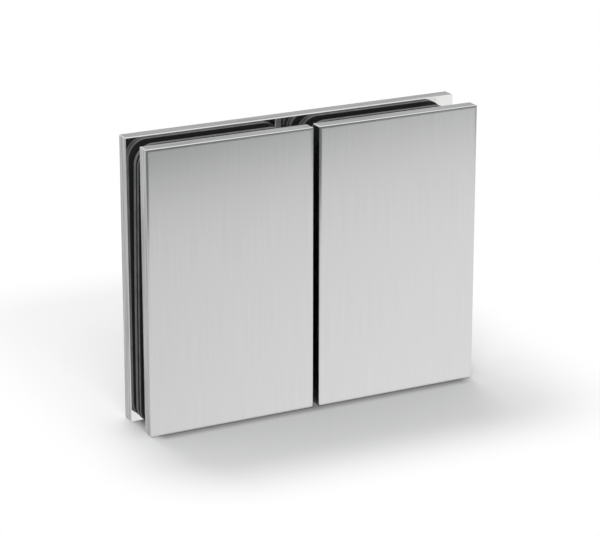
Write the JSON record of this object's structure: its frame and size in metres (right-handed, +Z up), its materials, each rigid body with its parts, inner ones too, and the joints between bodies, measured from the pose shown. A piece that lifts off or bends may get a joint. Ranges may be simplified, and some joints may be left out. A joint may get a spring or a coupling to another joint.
{
  "type": "glass-to-glass connector",
  "caption": "Fixed straight connector for glass panes: a full-width back plate and split front plates of brushed metal clamp the glass edge to edge between rubber sheets.",
  "frame": {"origin": "middle of the connector's box: half way across the width, the depth and the height", "axes": "+X along the width to the right half, +Y from the front plates to the back plate, +Z up"},
  "size_m": [0.112, 0.0196, 0.09],
  "materials": {
    "brushed_metal": "satin, brushed upright on the faces",
    "gasket_rubber": "matt",
    "sleeve_plastic": "moulded, matt",
    "screw_steel": "turned, plain"
  },
  "bodies": {
    "root": {"back_plate": "brushed_metal", "front_plate_left": "brushed_metal", "front_plate_right": "brushed_metal", "back_gasket_left": "gasket_rubber", "back_gasket_right": "gasket_rubber", "front_gasket_left": "gasket_rubber", "front_gasket_right": "gasket_rubber", "thick_shim_left": "gasket_rubber", "thick_shim_right": "gasket_rubber", "thin_shim_left": "gasket_rubber", "thin_shim_right": "gasket_rubber", "sleeve_upper_left": "sleeve_plastic", "sleeve_lower_left": "sleeve_plastic", "sleeve_upper_right": "sleeve_plastic", "sleeve_lower_right": "sleeve_plastic", "clamp_screws": "screw_steel"}
  },
  "joints": []
}
